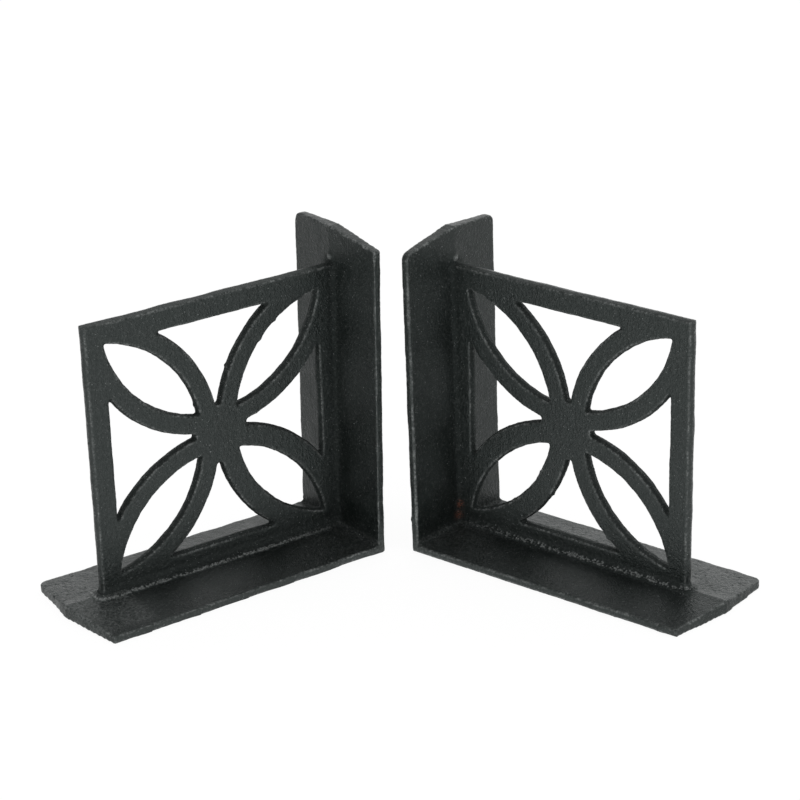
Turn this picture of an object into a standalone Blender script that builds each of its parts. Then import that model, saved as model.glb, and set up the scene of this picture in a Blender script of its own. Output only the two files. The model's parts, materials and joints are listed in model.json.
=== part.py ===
"""A pair of cast-iron book ends with a pierced lattice web.

Each book end is one sand casting: a base flange, an upright flange and a square web between them.
The web stands on the middle plane of both flanges, which is also the parting plane of the mould, so
the flanges taper away from that plane. The web is pierced by four pointed petals and four curved
triangles, which circles centred on the middles of the web's four sides cut out.

A casting has its own axes: X runs from the books' face of the upright to the free end, Y runs across
the flanges with the parting plane at Y = 0, and Z is up. The two castings stand on one surface and are
set out splayed from each other. The frame's origin lies under the middle of the pair.
Units are metres.
"""

from collections import namedtuple
from math import atan2, cos, hypot, pi, radians, sin, sqrt, tan

import bmesh
import bpy

# Flanges. They are longest and thickest on the parting plane and taper to their two edges.
FLANGE_WIDTH = 0.060
RIDGE_THICKNESS = 0.0054
EDGE_THICKNESS = 0.0032
UPRIGHT_HEIGHT = 0.141
UPRIGHT_LEAN = radians(0.95)

# The outer corner of a flange on one side: how far the flange reaches along that edge, and the radius.
Corner = namedtuple("Corner", "reach radius")
Corners = namedtuple("Corners", "base upright")

# Web. Its outline is fullest on the parting plane and steps in by WEB_DRAFT on its two faces.
WEB_THICKNESS = 0.0045
WEB_DRAFT = 0.0007
WEB_END = 0.123
WEB_TOP = 0.125
WEB_ROOT = 0.0015

# Lattice. The circles that cut it are centred SIDE_DISTANCE from its middle, one for each side.
LATTICE_X = 0.0625
LATTICE_Z = 0.0643
SIDE_DISTANCE = 0.0603
PETAL_CIRCLE = 0.0517
TRIANGLE_CIRCLE = 0.0607
RAIL_DISTANCE = 0.0503
TIP_RADIUS = 0.0007

# The strips of the lower inner quarter are heavier than the others. For each quarter turn from the free
# end, how much the petal's first circle is smaller, and the triangle's two circles are larger.
PETAL_HEAVIER = (0, 0, 0.0006, 0)
TRIANGLE_HEAVIER = ((0, 0), (0, 0), (0.0008, 0), (0, 0.0013))

# Concave fillets where the web runs into the flanges.
FILLET_RADIUS = 0.0016
FILLET_ROOT = 0.0008
FILLET_SINK = 0.00007

# Where the foot of each books' face stands, and which way the casting's X axis points. The two
# castings shrank a little differently as they cooled.
LEFT_FOOT = (-0.0225, 0.0423)
LEFT_TURN = radians(214.55)
LEFT_SIZE = 1.0
RIGHT_FOOT = (0.0253, 0.0401)
RIGHT_TURN = radians(-39.25)
RIGHT_SIZE = 0.9935

# The length of each base on the parting plane, and its casting's corners on the two sides, the -Y side
# first. The front corners of the bases were filed sharp. The left base also spreads on its +Y side, by
# LEFT_SPREAD at the free end.
LEFT_LENGTH = 0.1398
LEFT_CORNERS = (
    Corners(Corner(0.1363, 0.0035), Corner(0.1396, 0.0050)),
    Corners(Corner(0.1350, 0.0008), Corner(0.1370, 0.0008)),
)
LEFT_SPREAD = 0.0030
RIGHT_LENGTH = 0.1412
RIGHT_CORNERS = (
    Corners(Corner(0.1360, 0.0008), Corner(0.1362, 0.0030)),
    Corners(Corner(0.1400, 0.0035), Corner(0.1378, 0.0035)),
)

# Fineness of the arcs, the sharpest turn left as it is, the longest part of a side that blunting takes,
# and how far the cutters reach past the web's faces.
ARC_STEPS = 9
CORNER_STEPS = 4
CORNER_SWEEP = radians(80)
FILLET_STEPS = 3
BLUNT_ABOVE = radians(20.0)
BLUNT_SHARE = 0.45
CUTTER_OVERRUN = 0.002

# The paint.
PAINT_COLOUR = (0.030, 0.033, 0.032, 1.0)
PAINT_ROUGHNESS = 0.55


# ---------------------------------------------------------------- mesh helpers

def clear_scene():
    for scene_object in list(bpy.data.objects):
        bpy.data.objects.remove(scene_object, do_unlink=True)


def loft_solid(name, loops):
    """A closed solid through closed outlines that all have the same number of points."""
    shell = bmesh.new()
    rings = [[shell.verts.new(point) for point in loop] for loop in loops]
    count = len(rings[0])
    for lower, upper in zip(rings, rings[1:]):
        for index in range(count):
            after = (index + 1) % count
            shell.faces.new((lower[index], lower[after], upper[after], upper[index]))
    shell.faces.new(rings[0])
    shell.faces.new(rings[-1])
    bmesh.ops.recalc_face_normals(shell, faces=shell.faces)
    mesh = bpy.data.meshes.new(name)
    shell.to_mesh(mesh)
    shell.free()
    solid = bpy.data.objects.new(name, mesh)
    bpy.context.scene.collection.objects.link(solid)
    return solid


def combine(target, tool, operation):
    """Joins the tool to the target, or cuts it out, and removes the tool."""
    modifier = target.modifiers.new("combine", "BOOLEAN")
    modifier.operation = operation
    modifier.solver = "EXACT"
    modifier.object = tool
    depsgraph = bpy.context.evaluated_depsgraph_get()
    result = bpy.data.meshes.new_from_object(target.evaluated_get(depsgraph))
    target.modifiers.clear()
    target.data = result
    bpy.data.objects.remove(tool, do_unlink=True)


# ---------------------------------------------------------------- flanges

def taper(offset):
    """0 on the parting plane and 1 at the flanges' edges."""
    return abs(offset) / (FLANGE_WIDTH / 2)


def flange_thickness(offset):
    return RIDGE_THICKNESS + (EDGE_THICKNESS - RIDGE_THICKNESS) * taper(offset)


def flange_reach(offset, ridge_reach, corner):
    """How far a flange reaches from the corner, with its gabled end and rounded outer corners."""
    gable = ridge_reach + (corner.reach - ridge_reach) * taper(offset)
    into_corner = abs(offset) - (FLANGE_WIDTH / 2 - corner.radius)
    if into_corner <= 0:
        return gable
    rounding = corner.radius - sqrt(corner.radius ** 2 - into_corner ** 2)
    return gable - rounding


def on_base(along, across, height):
    return (along, across, height)


def on_upright(along, across, height):
    """The upright leans a little towards the books as it rises."""
    return (height - tan(UPRIGHT_LEAN) * along, across, along)


def flange_profile(offset, length, corners):
    """The L-shaped section through both flanges at one distance from the parting plane."""
    thickness = flange_thickness(offset)
    base_reach = flange_reach(offset, length, corners.base)
    upright_reach = flange_reach(offset, UPRIGHT_HEIGHT, corners.upright)
    return [
        on_base(0, offset, 0),
        on_base(base_reach, offset, 0),
        on_base(base_reach, offset, thickness),
        on_upright(thickness, offset, thickness),
        on_upright(upright_reach, offset, thickness),
        on_upright(upright_reach, offset, 0),
    ]


def corner_offsets(radius):
    """Distances from the parting plane at which a corner's arc is cut into straight pieces."""
    angles = [CORNER_SWEEP * step / CORNER_STEPS for step in range(CORNER_STEPS + 1)]
    return {FLANGE_WIDTH / 2 - radius * (1 - sin(angle)) for angle in angles}


def half_profiles(side, length, corners):
    """The sections of one half, from the one nearest the parting plane out to the edge."""
    offsets = sorted(corner_offsets(corners.base.radius) | corner_offsets(corners.upright.radius))
    return [flange_profile(side * offset, length, corners) for offset in offsets]


def spread(profile, length, amount):
    """The section with its +Y points moved out, the more the nearer they are to the free end."""
    share = amount / (FLANGE_WIDTH / 2) / length
    return [(along, across * (1 + share * along * (across > 0)), up) for along, across, up in profile]


def flange_solid(length, corners, amount):
    """Both flanges as one L, lofted from edge to edge through its rounded corners."""
    minus, plus = corners
    profiles = half_profiles(-1, length, minus)[::-1]
    profiles.append(flange_profile(0, length, minus))
    profiles += half_profiles(1, length, plus)
    return loft_solid("flanges", [spread(profile, length, amount) for profile in profiles])


# ---------------------------------------------------------------- web and lattice

def web_solid():
    """The plain web plate. Only its free edges step in towards the faces."""
    half = WEB_THICKNESS / 2
    loops = []
    for offset, inset in ((-half, WEB_DRAFT), (0, 0), (half, WEB_DRAFT)):
        end = WEB_END - inset
        top = WEB_TOP - inset
        loops.append([
            (WEB_ROOT, offset, WEB_ROOT),
            (end, offset, WEB_ROOT),
            (end, offset, top),
            (WEB_ROOT, offset, top),
        ])
    return loft_solid("web", loops)


def arc_points(centre, radius, start, finish):
    """Evenly spaced points along the shorter arc between two points, both included."""
    first = atan2(start[1] - centre[1], start[0] - centre[0])
    sweep = atan2(finish[1] - centre[1], finish[0] - centre[0]) - first
    sweep = (sweep + pi) % (2 * pi) - pi
    angles = [first + sweep * step / ARC_STEPS for step in range(ARC_STEPS + 1)]
    return [(centre[0] + radius * cos(angle), centre[1] + radius * sin(angle)) for angle in angles]


def crossings(first, first_radius, second, second_radius):
    """Where two circles cross, on the left and on the right of the way from first to second."""
    east = second[0] - first[0]
    north = second[1] - first[1]
    apart = hypot(east, north)
    ahead = (first_radius ** 2 - second_radius ** 2 + apart ** 2) / (2 * apart)
    aside = sqrt(first_radius ** 2 - ahead ** 2)
    middle_x = first[0] + east * ahead / apart
    middle_y = first[1] + north * ahead / apart
    side_x = -north * aside / apart
    side_y = east * aside / apart
    return (middle_x + side_x, middle_y + side_y), (middle_x - side_x, middle_y - side_y)


def petal_outline(growth, heavier):
    """A petal in the upper free-end quarter, where two of the lattice's circles overlap."""
    above = (0, SIDE_DISTANCE)
    beyond = (SIDE_DISTANCE, 0)
    above_radius = PETAL_CIRCLE + growth - heavier
    beyond_radius = PETAL_CIRCLE + growth
    far, near = crossings(above, above_radius, beyond, beyond_radius)
    lower = arc_points(above, above_radius, near, far)
    upper = arc_points(beyond, beyond_radius, far, near)
    return lower[:-1] + upper[:-1]


def triangle_outline(growth, heavier):
    """A curved triangle between the free-end rail and two of the lattice's circles."""
    upper_radius = TRIANGLE_CIRCLE - growth + heavier[0]
    lower_radius = TRIANGLE_CIRCLE - growth + heavier[1]
    rail = RAIL_DISTANCE + growth
    upper_corner = SIDE_DISTANCE - sqrt(upper_radius ** 2 - rail ** 2)
    lower_corner = sqrt(lower_radius ** 2 - rail ** 2) - SIDE_DISTANCE
    narrowest = TIP_RADIUS + growth
    closer = SIDE_DISTANCE - narrowest
    tip = crossings((0, closer), upper_radius, (0, -closer), lower_radius)[0]
    upper_tip = (tip[0], tip[1] + narrowest)
    lower_tip = (tip[0], tip[1] - narrowest)
    upper = arc_points((0, SIDE_DISTANCE), upper_radius, (rail, upper_corner), upper_tip)
    lower = arc_points((0, -SIDE_DISTANCE), lower_radius, lower_tip, (rail, lower_corner))
    return upper + lower


def part_way(start, finish, distance):
    """A point at a distance from start towards finish, short of half the way."""
    share = min(distance / hypot(finish[0] - start[0], finish[1] - start[1]), BLUNT_SHARE)
    return (start[0] + (finish[0] - start[0]) * share, start[1] + (finish[1] - start[1]) * share)


def blunt(outline):
    """The outline with its sharp corners rounded off to about TIP_RADIUS."""
    points = []
    for index, corner in enumerate(outline):
        before = outline[index - 1]
        after = outline[(index + 1) % len(outline)]
        turn = atan2(after[1] - corner[1], after[0] - corner[0])
        turn -= atan2(corner[1] - before[1], corner[0] - before[0])
        turn = abs((turn + pi) % (2 * pi) - pi)
        if turn < BLUNT_ABOVE:
            points.append(corner)
            continue
        distance = TIP_RADIUS * tan(turn / 2)
        start = part_way(corner, before, distance)
        finish = part_way(corner, after, distance)
        middle = tuple((a + 2 * b + c) / 4 for a, b, c in zip(start, corner, finish))
        points += [start, middle, finish]
    return points


def quarter_turned(point, turns):
    for _ in range(turns):
        point = (-point[1], point[0])
    return point


def opening_cutter(outline_of, heavier, turns):
    """The drafted plug that leaves one opening, narrowest on the parting plane."""
    half = WEB_THICKNESS / 2
    outside = half + CUTTER_OVERRUN
    loops = []
    for offset in (-outside, -half, 0, half, outside):
        growth = WEB_DRAFT if offset else 0
        outline = [quarter_turned(point, turns) for point in blunt(outline_of(growth, heavier))]
        loops.append([(LATTICE_X + across, offset, LATTICE_Z + up) for across, up in outline])
    return loft_solid("opening", loops)


# ---------------------------------------------------------------- fillets

def fillet_section(side):
    """Points across and above a flange that fill the corner beside the web's root."""
    face = WEB_THICKNESS / 2
    foot = flange_thickness(face)
    toe = face + FILLET_RADIUS
    section = [(face - FILLET_ROOT, foot - FILLET_ROOT), (face - FILLET_ROOT, foot + FILLET_RADIUS)]
    for step in range(FILLET_STEPS):
        angle = pi / 2 * step / FILLET_STEPS
        across = toe - FILLET_RADIUS * cos(angle)
        section.append((across, foot + FILLET_RADIUS * (1 - sin(angle))))
    section.append((toe, flange_thickness(toe) - FILLET_SINK))
    section.append((toe, foot - FILLET_ROOT))
    return [(side * across, height) for across, height in section]


def fillet_solid(on_flange, reach, side):
    """A fillet along one flange, from inside the corner to a distance from it."""
    loops = []
    for along in (RIDGE_THICKNESS / 2, reach):
        loops.append([on_flange(along, across, height) for across, height in fillet_section(side)])
    return loft_solid("fillet", loops)


# ---------------------------------------------------------------- castings

def casting_mesh(length, corners, amount):
    """One whole casting in its own axes, its base spread by an amount at the free end."""
    web = web_solid()
    for turns in range(4):
        petal = opening_cutter(petal_outline, PETAL_HEAVIER[turns], turns)
        combine(web, petal, "DIFFERENCE")
        triangle = opening_cutter(triangle_outline, TRIANGLE_HEAVIER[turns], turns)
        combine(web, triangle, "DIFFERENCE")
    casting = flange_solid(length, corners, amount)
    combine(casting, web, "UNION")
    for side in (-1, 1):
        combine(casting, fillet_solid(on_base, WEB_END - FILLET_RADIUS, side), "UNION")
        combine(casting, fillet_solid(on_upright, WEB_TOP - FILLET_RADIUS, side), "UNION")
    mesh = casting.data
    mesh.name = "casting"
    bpy.data.objects.remove(casting, do_unlink=True)
    return mesh


def paint():
    """Satin black paint over the rough skin of a sand casting."""
    material = bpy.data.materials.new("black_paint")
    material.use_nodes = True
    shader = material.node_tree.nodes["Principled BSDF"]
    shader.inputs["Base Color"].default_value = PAINT_COLOUR
    shader.inputs["Roughness"].default_value = PAINT_ROUGHNESS
    shader.inputs["Metallic"].default_value = 0.0
    return material


def place(mesh, name, foot, turn, size):
    book_end = bpy.data.objects.new(name, mesh)
    book_end.location = (foot[0], foot[1], 0)
    book_end.rotation_euler = (0, 0, turn)
    book_end.scale = (size, size, size)
    bpy.context.scene.collection.objects.link(book_end)


clear_scene()
black_paint = paint()
left = casting_mesh(LEFT_LENGTH, LEFT_CORNERS, LEFT_SPREAD)
right = casting_mesh(RIGHT_LENGTH, RIGHT_CORNERS, 0)
for casting in (left, right):
    casting.materials.clear()
    casting.materials.append(black_paint)
place(left, "left_bookend", LEFT_FOOT, LEFT_TURN, LEFT_SIZE)
place(right, "right_bookend", RIGHT_FOOT, RIGHT_TURN, RIGHT_SIZE)
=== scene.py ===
"""The look of a pair of black cast-iron book ends: grainy sand castings under satin paint.

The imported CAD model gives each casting's true shape. Here each one is remeshed finely in its own
axes, gets the rounded edges, wavy outlines, grain, pits and crusted fillets of a sand casting, and is
painted. A casting's own axes are X from the books' face to the free end, Y across the flanges with
the parting plane at Y = 0, and Z up. Lengths are in metres.
"""

import json
from dataclasses import dataclass
from math import atan2, cos, hypot, radians, sin
from random import Random

import bpy
import numpy as np
from mathutils import Matrix, Vector, noise
from mathutils.kdtree import KDTree


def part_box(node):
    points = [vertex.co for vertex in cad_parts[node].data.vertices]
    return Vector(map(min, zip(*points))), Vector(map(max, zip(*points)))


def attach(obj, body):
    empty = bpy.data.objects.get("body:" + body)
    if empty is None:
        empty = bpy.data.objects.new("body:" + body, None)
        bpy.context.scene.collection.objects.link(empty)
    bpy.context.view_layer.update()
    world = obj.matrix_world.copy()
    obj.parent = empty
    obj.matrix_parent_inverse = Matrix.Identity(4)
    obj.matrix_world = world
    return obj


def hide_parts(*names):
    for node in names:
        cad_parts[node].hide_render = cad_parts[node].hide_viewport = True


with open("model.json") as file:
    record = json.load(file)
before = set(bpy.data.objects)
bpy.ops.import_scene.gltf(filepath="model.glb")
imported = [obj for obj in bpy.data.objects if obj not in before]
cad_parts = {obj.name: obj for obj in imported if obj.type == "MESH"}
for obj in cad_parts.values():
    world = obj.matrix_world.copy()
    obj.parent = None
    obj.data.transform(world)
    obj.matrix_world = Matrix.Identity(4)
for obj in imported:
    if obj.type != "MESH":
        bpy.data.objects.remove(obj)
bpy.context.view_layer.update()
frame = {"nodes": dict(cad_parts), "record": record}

MM = 0.001

# The castings' plates, as the CAD model has them.
FLANGE_WIDTH = 60 * MM
RIDGE_THICKNESS = 5.4 * MM
EDGE_THICKNESS = 3.2 * MM
WEB_THICKNESS = 4.5 * MM
WEB_END = 123 * MM
WEB_TOP = 125 * MM
UPRIGHT_HEIGHT = 141 * MM

# The least that the lattice's openings keep clear of the web's outer edges.
FRAME_MARGIN = 2 * MM

# The fine mesh: its grid, and how much its edges are rounded. The paint makes up for the rounding.
GRID = 0.5 * MM
ROUNDING_SHARE = 0.5
ROUNDING_PASSES = 3
PAINT_THICKNESS = 0.05 * MM

# Skin of the casting: (height, grain size) of each layer of unevenness.
SAND_GRAIN = (0.075 * MM, 1.4 * MM)
SAND_MOTTLE = (0.05 * MM, 5.0 * MM)
EDGE_WOBBLE = (0.45 * MM, 12.0 * MM)
EDGE_CHATTER = (0.12 * MM, 2.8 * MM)
ROOT_ROUGHNESS = (0.32 * MM, 1.3 * MM)

# How far the fillets' roughness reaches, and how far the painted shade in the corners beside the web
# does.
ROOT_REACH = 3.0 * MM
PAINTED_SHADE_REACH = FLANGE_WIDTH / 3

# The web's foot flares out on each side.
FLARE_HEIGHT = 4.0 * MM
FLARE_REACH = 1.6 * MM

# The crest that the parting plane leaves on the base, from the web's end to the free end.
CREST_HEIGHT = 0.32 * MM
CREST_REACH = 2.2 * MM

# Near the upright the crust and its painted glints are less pale: its least strength, and where along X
# that grows to full.
CRUST_LEAST = 0.55
CRUST_GROWTH = (5 * MM, 38 * MM)

# How much of the wobble the walls of the web and of the upright show, against the base's.
WEB_STEADINESS = 0.55
UPRIGHT_STEADINESS = 0.45

# How far a grid point on a blunt and on a sharp edge stands out from its neighbours.
BLUNT_EDGE = 0.016 * MM
SHARP_EDGE = 0.052 * MM

# How much of a normal points out of its plate on a wall and on a broad face, and how much of it
# points up beside the base and on top of it.
FACING_OUT = (0.80, 0.97)
FACING_UP = (0.5, 0.9)

# Where the masks count: the middle of the crust, what is nearly all wall, and what is hardly wall.
CRUST_MIDDLE = 0.5
NEARLY_ALL = 0.9
HARDLY_ANY = 0.1

# Lumps and hollows: (height, radius). Granules crust the fillets, nubs stand on the openings' walls,
# burrs and a knob stand where each casting has them, and pits lie in the base. Their radii vary by
# the shares in LUMP_SIZES, and they fade out within LUMP_END radii.
LUMP_SIZES = (0.6, 1.3)
LUMP_END = 2
GRANULE = (0.50 * MM, 0.60 * MM)
NUB = (0.45 * MM, 1.0 * MM)
BURR = (0.60 * MM, 0.9 * MM)
KNOB = (1.40 * MM, 1.9 * MM)
# How pale the knob is painted: a painted highlight.
KNOB_HIGHLIGHT = 0.90
PIT = (-0.24 * MM, 0.50 * MM)
NUB_COUNT = 10
PIT_COUNT = 160

# Dust and painted sheen lie on the pitted part of the base, fading out round it, and more thinly next to
# the upright.
DUST_AND_SHEEN_FADE = 5 * MM
CORNER_DUST_AND_SHEEN = 0.60
CORNER_REACH = 32 * MM

# Paint: its two shades, the colours of what lies on it and of its painted glints, and the tint of its
# sheen.
PAINT_DEEP = (0.0028, 0.0048, 0.0042, 1)
PAINT_PALE = (0.0085, 0.0115, 0.0105, 1)
DUST = (0.075, 0.080, 0.078, 1)
CRUST_AND_GLINT = (0.260, 0.272, 0.268, 1)
RUST = (0.170, 0.052, 0.026, 1)
SHEEN_TINT = (0.91, 1.0, 0.98, 1)
RUST_RADIUS = 1.6 * MM

# The paint's noises: (grain size, octaves of detail, share that each octave keeps). Streaks run
# upright, because the height is shrunk for them.
MOTTLE = (9 * MM, 3, 0.5)
STREAKS = (1.5 * MM, 2, 0.5)
GRAIN = (1.1 * MM, 2, 0.6)
GRIT = (0.6 * MM, 1, 0.5)
PATCHES = (6 * MM, 2, 0.5)
STREAK_STRETCH = 0.12

# What each layer makes of its noise or mask: (from, to, least, most), where noise lies round 0.5.
# The covers say how much of the paint a layer hides, SATIN is the paint's roughness, and GRIT_RELIEF
# is how strongly the grit stands out, from smooth parts to rough ones.
SHADE_COVER = (0.35, 0.65, 0.0, 1.0)
STREAK_COVER = (0.40, 0.60, 0.0, 0.35)
GRAIN_DUST_COVER = (0.52, 0.68, 0.0, 0.24)
SETTLED_DUST_AND_SHEEN_COVER = (0.35, 0.65, 0.0, 0.75)
GLINT_SPECK_COVER = (0.70, 0.80, 0.0, 0.90)
PATCH_COVER = (0.40, 0.62, 0.30, 1.0)
WEAR_AND_HIGHLIGHT_COVER = (0.40, 0.70, 0.10, 0.85)
CRUST_COVER = (0.35, 0.95, 0.0, 1.0)
SPARKLE_COVER = (0.35, 0.65, 0.35, 1.0)
RUST_COVER = (0.42, 0.56, 0.0, 1.0)
SATIN = (0.3, 0.7, 0.36, 0.48)
GRIT_RELIEF = (0.0, 1.0, 0.5, 1.0)

# How much rougher than satin the fillets and the openings' walls are, and how deep the noises go.
ROUGH_MATTING = 0.38
STREAK_DEPTH = 0.06 * MM
GRAIN_DEPTH = 0.18 * MM
GRIT_DEPTH = 0.40 * MM

# Studio: radiances, against 1 for a surface that shows pure white. Soft lights stand all round, each
# an (azimuth, elevation, radiance) in degrees, with azimuth 0 on the right and 90 behind. The floor
# glows like a light table, so it shows hardly any shadow, and paint doesn't mirror it: the low lights
# are what the paint has in its place.
ROOM_LIGHT = 0.25
SOFT_LIGHTS = ((0, 90, 0.90), (45, 35, 0.84), (90, -22, 1.60), (225, -22, 1.36), (315, -22, 1.32))
LIGHT_FOCUS = 4
FLOOR_GLOW = 0.93
FLOOR_HALF = 3.0
PAPER_TOOTH = (2 * MM, 2, 0.5)
PAPER_SHADES = ((0.10, 0.10, 0.10, 1), (0.12, 0.12, 0.12, 1))
PAPER_ROUGHNESS = 0.9

# Camera, which sees the pair from in front and above.
SENSOR = 36
FOCAL_LENGTH = 114.75
SHIFT_UP = 0.0343
EYE = (0.00252, -0.97479, 0.48519)
LOOK_DOWN = 0.4064
ROLL = -0.0272


@dataclass
class Casting:
    """What sets one casting's skin apart from the other's. Places are in its own axes."""
    side: str
    seed: int
    crust_beside: float   # how far from the web's face the middle of the crust lies
    crust_above: float    # and how far above the base
    crust_width: float
    flare: float          # how far the web's foot flares out on each side
    granules: int
    pitted: tuple         # the range of X and of Y of the part of the base that is pitted
    burrs: tuple          # the places of the larger burrs
    knob: tuple           # the lump on the upright, over the web's top
    rust: tuple           # the places of the rust marks


CASTINGS = (
    Casting(
        side="left",
        seed=11,
        crust_beside=2.6 * MM,
        crust_above=0.1 * MM,
        crust_width=0.85 * MM,
        flare=0.9 * MM,
        granules=950,
        pitted=(115 * MM, 138 * MM, -26 * MM, 26 * MM),
        burrs=(
            (33 * MM, 2.2 * MM, 59 * MM),
            (43.7 * MM, 2.2 * MM, 66.4 * MM),
            (36.1 * MM, 2.2 * MM, 48.2 * MM),
        ),
        knob=(3.6 * MM, 0.8 * MM, 127.8 * MM),
        rust=(),
    ),
    Casting(
        side="right",
        seed=29,
        crust_beside=0.6 * MM,
        crust_above=1.3 * MM,
        crust_width=1.5 * MM,
        flare=0.7 * MM,
        granules=560,
        pitted=(40 * MM, 138 * MM, 4 * MM, 28 * MM),
        burrs=(
            (0 * MM, -30.4 * MM, 15.2 * MM),
            (106 * MM, -30.5 * MM, 0 * MM),
        ),
        knob=(3.6 * MM, -0.8 * MM, 127.4 * MM),
        rust=((5.3 * MM, -2.6 * MM, 14 * MM), (5.6 * MM, -4 * MM, 9 * MM)),
    ),
)


# ---------------------------------------------------------------- fields over a mesh

def smooth_step(low, high, values):
    share = np.clip((values - low) / (high - low), 0, 1)
    return share * share * (3 - 2 * share)


def noise_at(points, grain, seed):
    """Smooth noise between about -1 and 1 at each point, with hills about one grain across."""
    shift = Vector((seed, 2 * seed, 3 * seed))
    return np.array([noise.noise(Vector(point) / grain + shift) for point in points.tolist()])


def plate_thickness(across):
    taper = np.abs(across) / (FLANGE_WIDTH / 2)
    return RIDGE_THICKNESS + (EDGE_THICKNESS - RIDGE_THICKNESS) * taper


def flange_masks(points):
    """Which points belong to the base and which to the upright."""
    flange = RIDGE_THICKNESS + GRID
    return points[:, 2] < flange, points[:, 0] < flange


def inside_lattice(points):
    """Which points lie inside the web's frame, and so not on its outer edges or on a flange."""
    along, _, up = points.T
    inside = (along > 2 * RIDGE_THICKNESS) & (along < WEB_END - FRAME_MARGIN)
    return inside & (up > 2 * RIDGE_THICKNESS) & (up < WEB_TOP - FRAME_MARGIN)


def wall_mask(points, normals):
    """1 on the narrow walls of the plates and round their edges, 0 on their broad faces."""
    in_base, in_upright = flange_masks(points)
    facing = np.abs(normals[:, 1]) * ~(in_base | in_upright)
    facing = np.maximum(facing, np.abs(normals[:, 2]) * in_base)
    facing = np.maximum(facing, np.abs(normals[:, 0]) * in_upright)
    return 1 - smooth_step(*FACING_OUT, facing)


def edge_mask(mesh, points, normals):
    """1 along sharp outer edges, 0 on flat and hollow parts."""
    ends = np.empty(len(mesh.edges) * 2, int)
    mesh.edges.foreach_get("vertices", ends)
    first, second = ends.reshape(-1, 2).T
    sums = np.zeros_like(points)
    counts = np.zeros(len(points))
    for here, there in ((first, second), (second, first)):
        np.add.at(sums, here, points[there])
        np.add.at(counts, here, 1)
    standing_out = ((points - sums / counts[:, None]) * normals).sum(axis=1)
    return smooth_step(BLUNT_EDGE, SHARP_EDGE, standing_out)


def crust_mask(points, casting):
    """1 in the middle of the crust along the web's foot."""
    along, across, up = points.T
    beside_web = np.maximum(np.abs(across) - WEB_THICKNESS / 2, 0)
    past_end = np.maximum(along - WEB_END, 0)
    beside = np.hypot(beside_web, past_end) - casting.crust_beside
    above = up - plate_thickness(across) - casting.crust_above
    behind = np.maximum(2 * RIDGE_THICKNESS - along, 0)
    return np.exp(-(np.hypot(beside, above + behind) / casting.crust_width) ** 2)


def web_side(points):
    """1 on the side of the flanges where the web stands, 0 on the underside and the books' face."""
    along, _, up = points.T
    return smooth_step(EDGE_THICKNESS / 2, EDGE_THICKNESS, np.minimum(along, up))


def corner_shade_mask(points):
    """Where the paint is darkened as painted shade: 1 in the corner between the web and the flanges,
    falling to 0 towards the flanges' edges.
    """
    along, across, up = points.T
    distance = np.minimum(along, up) + np.abs(across)
    return np.exp(-(distance / PAINTED_SHADE_REACH) ** 2) * web_side(points)


def outside_web(points):
    """How far each point is outside the block that the web fills."""
    along, across, up = points.T
    beside = np.maximum(np.abs(across) - WEB_THICKNESS / 2, 0)
    return beside + np.maximum(along - WEB_END, 0) + np.maximum(up - WEB_TOP, 0)


def flare_mask(points):
    """1 at the web's foot, fading out up the web's faces and over the base."""
    rise = np.maximum(points[:, 2] - plate_thickness(points[:, 1]), 0)
    return (1 - smooth_step(0, FLARE_HEIGHT, rise)) * np.exp(-(outside_web(points) / FLARE_REACH) ** 2)


def crest_mask(points, normals):
    """1 on top of the base along the parting plane, past the web's end, falling to both sides."""
    along, across, up = points.T
    on_top = smooth_step(*FACING_UP, normals[:, 2]) * (up < 2 * RIDGE_THICKNESS)
    past_end = smooth_step(WEB_END, WEB_END + CREST_REACH, along)
    return np.exp(-np.abs(across) / CREST_REACH) * past_end * on_top


def root_mask(points):
    """1 in the fillets: along the web's foot and back edge, and in the corner between the flanges."""
    along, across, up = points.T
    thickness = plate_thickness(across)
    root = outside_web(points) + np.maximum(np.minimum(along, up) - thickness, 0)
    corner = np.hypot(along - thickness, up - thickness)
    return np.exp(-(np.minimum(root, corner) / ROOT_REACH) ** 2) * web_side(points)


def search_tree(points):
    tree = KDTree(len(points))
    for index, point in enumerate(points.tolist()):
        tree.insert(point, index)
    tree.balance()
    return tree


def lumps(points, tree, centres, size, random):
    """Round hills or hollows of about one size on the given centres."""
    height, radius = size
    field = np.zeros(len(points))
    for centre in centres:
        spread = radius * random.uniform(*LUMP_SIZES)
        for _, index, distance in tree.find_range(centre, LUMP_END * spread):
            field[index] = max(field[index], np.exp(-(distance / spread) ** 2))
    return height * field


def scattered(points, allowed, count, random):
    """A number of random points among those allowed."""
    candidates = np.flatnonzero(allowed).tolist()
    return [points[random.choice(candidates)] for _ in range(count)]


# ---------------------------------------------------------------- castings

def casting_axes(side):
    """The matrix of one casting's own axes and size, from its node and the mount on its books' face."""
    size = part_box(side + "_bookend")[1][2] / UPRIGHT_HEIGHT
    mount = next(m for m in frame["record"]["mounts"] if m["name"] == side + "_book_face")
    east, north, rise = mount["axis"]
    level = hypot(east, north)
    lean = -rise / level * mount["pos_m"][2]
    foot = Vector((mount["pos_m"][0] - east / level * lean, mount["pos_m"][1] - north / level * lean, 0))
    turned = Matrix.Rotation(atan2(-north, -east), 4, "Z")
    return Matrix.Translation(foot) @ turned @ Matrix.Scale(size, 4)


def evaluated_mesh(source):
    depsgraph = bpy.context.evaluated_depsgraph_get()
    return bpy.data.meshes.new_from_object(source.evaluated_get(depsgraph))


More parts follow.
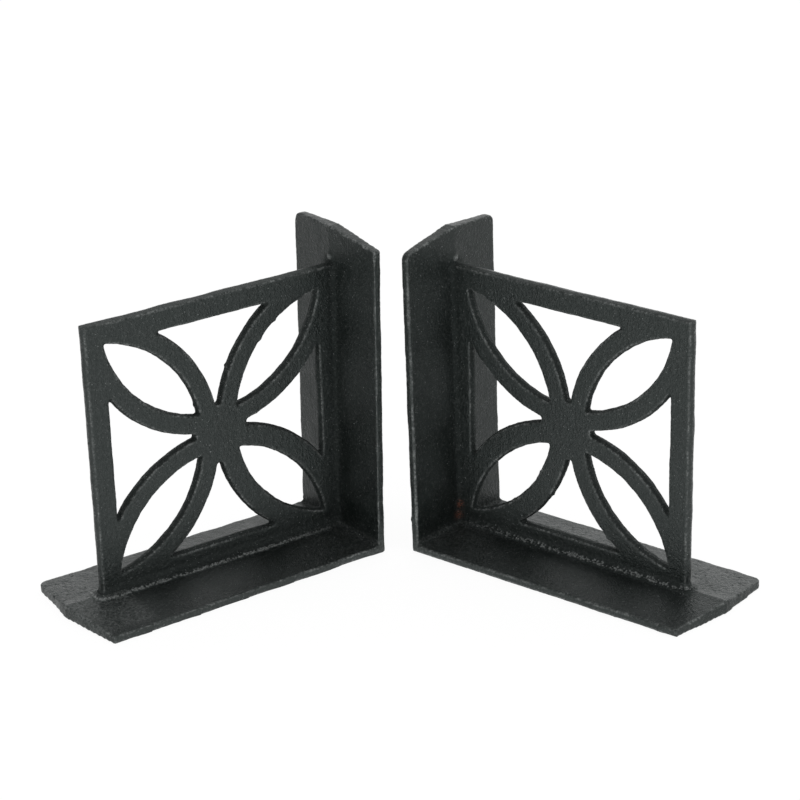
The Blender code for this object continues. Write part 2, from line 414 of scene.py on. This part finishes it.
def fine_mesh(node, axes):
    """The CAD node's shape in its casting's axes, as an even fine mesh with rounded edges."""
    draft = link("draft", node.data.copy())
    draft.data.transform(axes.inverted())
    remesh = draft.modifiers.new("grid", "REMESH")
    remesh.mode = "VOXEL"
    remesh.voxel_size = GRID
    rounding = draft.modifiers.new("rounding", "SMOOTH")
    rounding.factor = ROUNDING_SHARE
    rounding.iterations = ROUNDING_PASSES
    mesh = evaluated_mesh(draft)
    bpy.data.objects.remove(draft, do_unlink=True)
    return mesh


def read_vectors(mesh, items, name):
    values = np.empty(len(items) * 3)
    items.foreach_get(name, values)
    return values.reshape(-1, 3)


def store_mask(mesh, name, values):
    attribute = mesh.attributes.new(name, "FLOAT", "POINT")
    attribute.data.foreach_set("value", values)


def layer(points, size, seed):
    height, grain = size
    return height * noise_at(points, grain, seed)


def rust_mask(points, marks):
    mask = np.zeros(len(points))
    for mark in marks:
        distance = np.linalg.norm(points - np.array(mark), axis=1)
        mask = np.maximum(mask, np.exp(-(distance / RUST_RADIUS) ** 2))
    return mask


def dust_and_sheen_mask(points, area):
    """Where dust and painted sheen lie: 1 inside the pitted part of the base, fading out round it."""
    x_from, x_to, y_from, y_to = area
    along, across, up = points.T
    share = 1.0 * (up < RIDGE_THICKNESS + GRID)
    for place, low, high in ((along, x_from, x_to), (across, y_from, y_to)):
        share *= smooth_step(low - DUST_AND_SHEEN_FADE, low, place)
        share *= 1 - smooth_step(high, high + DUST_AND_SHEEN_FADE, place)
    return share


def corner_mask(points):
    """1 on the base next to the upright, falling to 0 towards the base's middle."""
    in_base, _ = flange_masks(points)
    return in_base * np.exp(-(points[:, 0] / CORNER_REACH) ** 2)


def crust_strength(points):
    """How pale the crust and its painted glints are along the web's foot: weak near the upright, full
    further out.
    """
    return CRUST_LEAST + (1 - CRUST_LEAST) * smooth_step(*CRUST_GROWTH, points[:, 0])


def steadiness(points):
    """How much of the wobble each point's wall shows: all of it on the base, less elsewhere."""
    in_base, in_upright = flange_masks(points)
    share = np.where(in_upright, UPRIGHT_STEADINESS, WEB_STEADINESS)
    return np.where(in_base, 1, share)


def detailed_casting(casting):
    """The CAD node of one casting with the skin of a sand casting, and the masks its paint reads."""
    random = Random(casting.seed)
    axes = casting_axes(casting.side)
    mesh = fine_mesh(frame["nodes"][casting.side + "_bookend"], axes)
    points = read_vectors(mesh, mesh.vertices, "co")
    normals = read_vectors(mesh, mesh.vertex_normals, "vector")
    tree = search_tree(points)
    walls = wall_mask(points, normals)
    edges = edge_mask(mesh, points, normals)
    crust_and_glint = crust_mask(points, casting)
    in_base, _ = flange_masks(points)
    inner_walls = walls * inside_lattice(points)
    x_from, x_to, y_from, y_to = casting.pitted
    pitted = in_base & (walls < HARDLY_ANY) & (points[:, 0] > x_from) & (points[:, 0] < x_to)
    pitted &= (points[:, 1] > y_from) & (points[:, 1] < y_to) & (normals[:, 2] > 0)
    crusted = scattered(points, crust_and_glint > CRUST_MIDDLE, casting.granules, random)
    granules = lumps(points, tree, crusted, GRANULE, random)

    height = np.full(len(points), PAINT_THICKNESS)
    height += layer(points, SAND_GRAIN, casting.seed)
    height += layer(points, SAND_MOTTLE, casting.seed + 1)
    wobble = layer(points, EDGE_WOBBLE, casting.seed + 2) + layer(points, EDGE_CHATTER, casting.seed + 3)
    height += walls * steadiness(points) * wobble
    height += root_mask(points) * layer(points, ROOT_ROUGHNESS, casting.seed + 4)
    height += flare_mask(points) * casting.flare
    height += crest_mask(points, normals) * CREST_HEIGHT
    height += granules
    nubs = scattered(points, inner_walls > NEARLY_ALL, NUB_COUNT, random)
    height += lumps(points, tree, nubs, NUB, random)
    height += lumps(points, tree, casting.burrs, BURR, random)
    height += lumps(points, tree, scattered(points, pitted, PIT_COUNT, random), PIT, random)
    knob = lumps(points, tree, (casting.knob,), KNOB, random)
    height += knob

    moved = points + normals * height[:, None]
    moved[:, 2] = np.maximum(moved[:, 2], 0)
    mesh.vertices.foreach_set("co", moved.ravel())
    mesh.shade_smooth()
    # The granules' tops are painted pale, partly as crust and partly as painted glints; the knob gets a
    # painted highlight.
    pale_lumps = np.clip(granules / GRANULE[0], 0, 1) * crust_strength(points)
    store_mask(mesh, "crust_and_glint", np.maximum(pale_lumps, KNOB_HIGHLIGHT * knob / KNOB[0]))
    # Along the edges the paint is pale, partly from wear and partly as painted highlights.
    store_mask(mesh, "wear_and_highlight_edge", edges * (1 - crust_and_glint))
    # Painted shade: the corner beside the web is darkened in the paint.
    store_mask(mesh, "painted_corner_shade", corner_shade_mask(points))
    # The fillets and the openings' walls are both rougher and darkened with painted shade.
    store_mask(mesh, "rough_and_shaded", np.maximum(root_mask(points), inner_walls))
    store_mask(mesh, "rust", rust_mask(points, casting.rust))
    # Pale paint on the pitted base and next to the upright, partly dust and partly painted sheen.
    dust_and_sheen = np.maximum(dust_and_sheen_mask(points, casting.pitted), CORNER_DUST_AND_SHEEN * corner_mask(points))
    store_mask(mesh, "dust_and_sheen", dust_and_sheen)
    mesh.transform(axes)
    mesh.materials.clear()
    return link(casting.side + "_casting", mesh)


# ---------------------------------------------------------------- material

class Nodes:
    """Short ways to add and link the nodes of one material or world."""

    def __init__(self, owner, shader, coordinates):
        owner.use_nodes = True
        self.owner = owner
        self.tree = owner.node_tree
        self.shader = self.tree.nodes[shader]
        self.place = self.tree.nodes.new("ShaderNodeTexCoord").outputs[coordinates]

    def feed(self, socket, value):
        if isinstance(value, bpy.types.NodeSocket):
            self.tree.links.new(value, socket)
        else:
            socket.default_value = value

    def noise(self, grain, detail, roughness, place=None):
        """Noise from 0 to 1 whose hills are about one grain across."""
        node = self.tree.nodes.new("ShaderNodeTexNoise")
        node.inputs["Scale"].default_value = 1 / grain
        node.inputs["Detail"].default_value = detail
        node.inputs["Roughness"].default_value = roughness
        self.tree.links.new(place or self.place, node.inputs["Vector"])
        return node.outputs["Fac"]

    def stretched_place(self, stretch):
        """The place with its height scaled, so that what reads it runs in upright streaks."""
        node = self.tree.nodes.new("ShaderNodeMapping")
        node.inputs["Scale"].default_value = (1, 1, stretch)
        self.tree.links.new(self.place, node.inputs["Vector"])
        return node.outputs["Vector"]

    def mask(self, name):
        node = self.tree.nodes.new("ShaderNodeAttribute")
        node.attribute_name = name
        return node.outputs["Fac"]

    def ramp(self, value, low, high, bottom, top):
        """The value's stretch from low to high, as a stretch from bottom to top."""
        node = self.tree.nodes.new("ShaderNodeMapRange")
        self.feed(node.inputs["Value"], value)
        node.inputs["From Min"].default_value = low
        node.inputs["From Max"].default_value = high
        node.inputs["To Min"].default_value = bottom
        node.inputs["To Max"].default_value = top
        return node.outputs["Result"]

    def math(self, operation, first, second):
        node = self.tree.nodes.new("ShaderNodeMath")
        node.operation = operation
        self.feed(node.inputs[0], first)
        self.feed(node.inputs[1], second)
        return node.outputs["Value"]

    def toward(self, direction):
        """How squarely the place, as a direction, points along another one, from 1 down to 0."""
        node = self.tree.nodes.new("ShaderNodeVectorMath")
        node.operation = "DOT_PRODUCT"
        self.tree.links.new(self.place, node.inputs[0])
        node.inputs[1].default_value = direction
        return self.math("MAXIMUM", node.outputs["Value"], 0.0)

    def mix(self, share, first, second):
        node = self.tree.nodes.new("ShaderNodeMix")
        node.data_type = "RGBA"
        self.feed(node.inputs["Factor"], share)
        self.feed(node.inputs["A"], first)
        self.feed(node.inputs["B"], second)
        return node.outputs["Result"]

    def bump(self, height, depth, strength, below=None):
        node = self.tree.nodes.new("ShaderNodeBump")
        node.inputs["Distance"].default_value = depth
        self.feed(node.inputs["Strength"], strength)
        self.feed(node.inputs["Height"], height)
        if below:
            self.tree.links.new(below, node.inputs["Normal"])
        return node.outputs["Normal"]


def black_paint():
    """Satin black paint over sand-cast iron: mottled, streaked and gritty, worn and with painted
    highlights along its edges, with painted glints on its specks and crust, and with painted shade in
    its corners, fillets and openings' walls.
    """
    nodes = Nodes(bpy.data.materials.new("black_paint"), "Principled BSDF", "Object")
    mottle = nodes.noise(*MOTTLE)
    streaks = nodes.noise(*STREAKS, place=nodes.stretched_place(STREAK_STRETCH))
    grain = nodes.noise(*GRAIN)
    grit = nodes.noise(*GRIT)
    patches = nodes.noise(*PATCHES)
    rough_and_shaded = nodes.mask("rough_and_shaded")

    colour = nodes.mix(nodes.ramp(mottle, *SHADE_COVER), PAINT_DEEP, PAINT_PALE)
    colour = nodes.mix(nodes.ramp(streaks, *STREAK_COVER), colour, PAINT_DEEP)
    # Painted shade: the paint turns to its deep shade in the corners beside the web, in the fillets and
    # on the openings' walls.
    colour = nodes.mix(nodes.math("MAXIMUM", nodes.mask("painted_corner_shade"), rough_and_shaded), colour, PAINT_DEEP)
    colour = nodes.mix(nodes.ramp(grain, *GRAIN_DUST_COVER), colour, DUST)
    # Pale paint on the pitted base and next to the upright, partly dust and partly painted sheen.
    settled_dust_and_sheen = nodes.math("MULTIPLY", nodes.mask("dust_and_sheen"), nodes.ramp(grain, *SETTLED_DUST_AND_SHEEN_COVER))
    colour = nodes.mix(settled_dust_and_sheen, colour, DUST)
    # Painted glints: pale specks on the grit's peaks.
    colour = nodes.mix(nodes.ramp(grit, *GLINT_SPECK_COVER), colour, CRUST_AND_GLINT)
    # Pale edges: partly worn paint, partly painted highlights.
    worn_and_highlit_edge = nodes.math("MULTIPLY", nodes.ramp(patches, *PATCH_COVER), nodes.mask("wear_and_highlight_edge"))
    wear_and_highlight = nodes.math("MULTIPLY", worn_and_highlit_edge, nodes.ramp(grain, *WEAR_AND_HIGHLIGHT_COVER))
    colour = nodes.mix(wear_and_highlight, colour, CRUST_AND_GLINT)
    # The crust, pale partly as crust and partly as painted glints that sparkle with the grit.
    crust_and_glint = nodes.ramp(nodes.mask("crust_and_glint"), *CRUST_COVER)
    colour = nodes.mix(nodes.math("MULTIPLY", crust_and_glint, nodes.ramp(grit, *SPARKLE_COVER)), colour, CRUST_AND_GLINT)
    rusty = nodes.math("MULTIPLY", nodes.mask("rust"), nodes.ramp(grit, *RUST_COVER))
    nodes.feed(nodes.shader.inputs["Base Color"], nodes.mix(rusty, colour, RUST))

    matting = nodes.math("MULTIPLY", rough_and_shaded, ROUGH_MATTING)
    roughness = nodes.math("ADD", nodes.ramp(mottle, *SATIN), matting)
    nodes.feed(nodes.shader.inputs["Roughness"], roughness)
    nodes.shader.inputs["Specular Tint"].default_value = SHEEN_TINT
    shape = nodes.bump(streaks, STREAK_DEPTH, 1.0)
    shape = nodes.bump(grain, GRAIN_DEPTH, 1.0, below=shape)
    shape = nodes.bump(grit, GRIT_DEPTH, nodes.ramp(rough_and_shaded, *GRIT_RELIEF), below=shape)
    nodes.feed(nodes.shader.inputs["Normal"], shape)
    return nodes.owner


# ---------------------------------------------------------------- studio

def link(name, data):
    made = bpy.data.objects.new(name, data)
    bpy.context.scene.collection.objects.link(made)
    return made


def studio_light():
    """An even room, brighter round the middle of each soft light."""
    world = bpy.data.worlds.new("studio")
    bpy.context.scene.world = world
    room = Nodes(world, "Background", "Generated")
    radiance = ROOM_LIGHT
    for azimuth, elevation, brightness in SOFT_LIGHTS:
        around = radians(azimuth)
        above = radians(elevation)
        direction = (cos(above) * cos(around), cos(above) * sin(around), sin(above))
        spot = room.math("POWER", room.toward(direction), LIGHT_FOCUS)
        radiance = room.math("ADD", room.math("MULTIPLY", spot, brightness), radiance)
    room.shader.inputs["Color"].default_value = (1, 1, 1, 1)
    room.feed(room.shader.inputs["Strength"], radiance)


def floor():
    mesh = bpy.data.meshes.new("floor")
    corners = [(-FLOOR_HALF, -FLOOR_HALF, 0), (FLOOR_HALF, -FLOOR_HALF, 0)]
    corners += [(FLOOR_HALF, FLOOR_HALF, 0), (-FLOOR_HALF, FLOOR_HALF, 0)]
    mesh.from_pydata(corners, [], [(0, 1, 2, 3)])
    paper = Nodes(bpy.data.materials.new("white_paper"), "Principled BSDF", "Object")
    tooth = paper.noise(*PAPER_TOOTH)
    paper.feed(paper.shader.inputs["Base Color"], paper.mix(tooth, *PAPER_SHADES))
    paper.shader.inputs["Roughness"].default_value = PAPER_ROUGHNESS
    paper.shader.inputs["Specular IOR Level"].default_value = 0.0
    paper.shader.inputs["Emission Color"].default_value = (1, 1, 1, 1)
    paper.shader.inputs["Emission Strength"].default_value = FLOOR_GLOW
    mesh.materials.append(paper.owner)
    sheet = link("floor", mesh)
    sheet.visible_glossy = False


def camera():
    data = bpy.data.cameras.new("camera")
    data.sensor_width = SENSOR
    data.lens = FOCAL_LENGTH
    data.shift_y = SHIFT_UP
    view = link("camera", data)
    turned = Matrix.Rotation(radians(90) - LOOK_DOWN, 4, "X") @ Matrix.Rotation(ROLL, 4, "Z")
    view.matrix_world = Matrix.Translation(EYE) @ turned
    bpy.context.scene.camera = view


# ---------------------------------------------------------------- scene

bpy.context.scene.view_settings.view_transform = "Standard"
camera()
paint = black_paint()
for casting in CASTINGS:
    book_end = detailed_casting(casting)
    book_end.data.materials.append(paint)
    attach(book_end, casting.side)
    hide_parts(casting.side + "_bookend")
floor()
studio_light()
